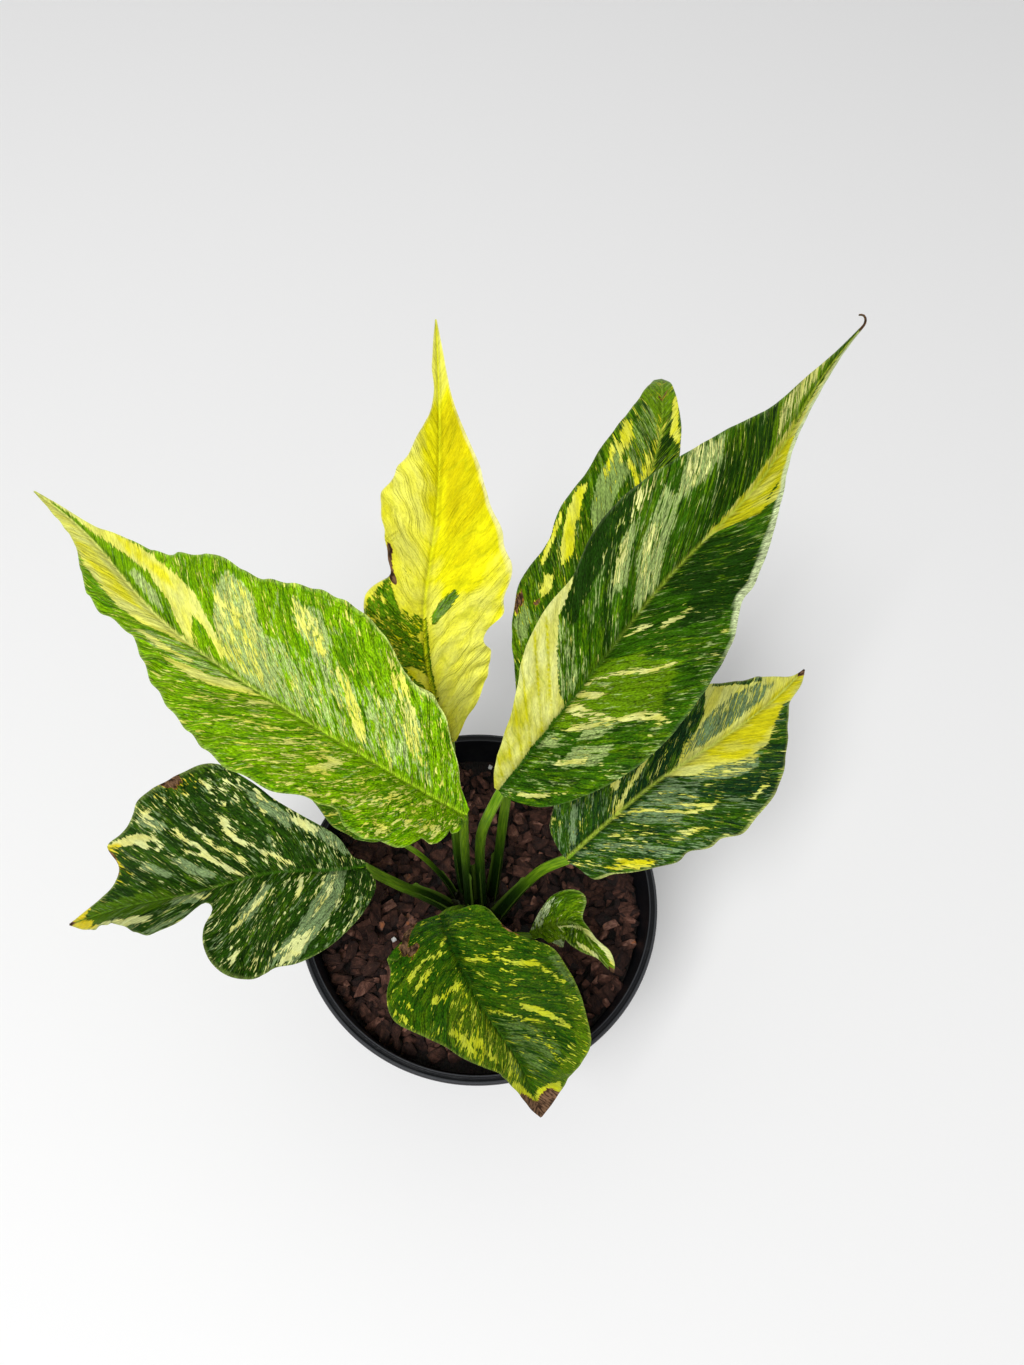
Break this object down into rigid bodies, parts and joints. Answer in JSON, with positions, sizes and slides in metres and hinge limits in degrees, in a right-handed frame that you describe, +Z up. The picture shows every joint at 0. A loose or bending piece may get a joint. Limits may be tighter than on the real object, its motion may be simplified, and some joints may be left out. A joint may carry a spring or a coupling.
{
  "type": "potted peace lily",
  "caption": "Peace lily with broad, arching, pointed variegated leaves on channelled stems, in a round tapered nursery pot topped with bark mulch.",
  "frame": {"origin": "centre of the underside of the pot's floor", "axes": "+Z up, out of the pot's mouth; -Y towards the front leaf; +Y the side that the tall leaves lean to"},
  "size_m": [0.2494, 0.1992, 0.2756],
  "materials": {
    "pot_plastic": "black moulded plastic with a satin sheen",
    "potting_mix": "dark damp potting mix with a few white mineral grains",
    "bark": "small reddish-brown bark chips, matte",
    "crown": "fibrous green-brown rootstock",
    "stem": "smooth satin green, channelled on the upper side",
    "leaf_lime": "satin lime-green leaf with cream and yellow sectors",
    "leaf_yellow": "satin yellow and cream leaf with a green flecked lobe",
    "leaf_dark": "satin dark green leaf with cream, yellow and silver streaks",
    "leaf_deep": "satin deep green leaf with a few yellow-green streaks"
  },
  "bodies": {
    "root": {"pot": "pot_plastic", "potting_mix": "potting_mix", "bark_mulch": "bark", "crown": "crown", "bark_chip_1": "bark", "bark_chip_2": "bark", "bark_chip_3": "bark", "bark_chip_4": "bark", "bark_chip_5": "bark", "bark_chip_6": "bark", "bark_chip_7": "bark", "bark_chip_8": "bark", "bark_chip_9": "bark", "bark_chip_10": "bark", "left_large_blade": "leaf_lime", "left_large_stem": "stem", "centre_yellow_blade": "leaf_yellow", "centre_yellow_stem": "stem", "right_large_blade": "leaf_dark", "right_large_stem": "stem", "back_right_blade": "leaf_dark", "back_right_stem": "stem", "right_low_blade": "leaf_dark", "right_low_stem": "stem", "left_low_blade": "leaf_dark", "left_low_stem": "stem", "front_blade": "leaf_deep", "front_stem": "stem", "small_front_blade": "leaf_lime", "small_front_stem": "stem", "hidden_small_blade": "leaf_deep", "hidden_small_stem": "stem"}
  },
  "joints": []
}
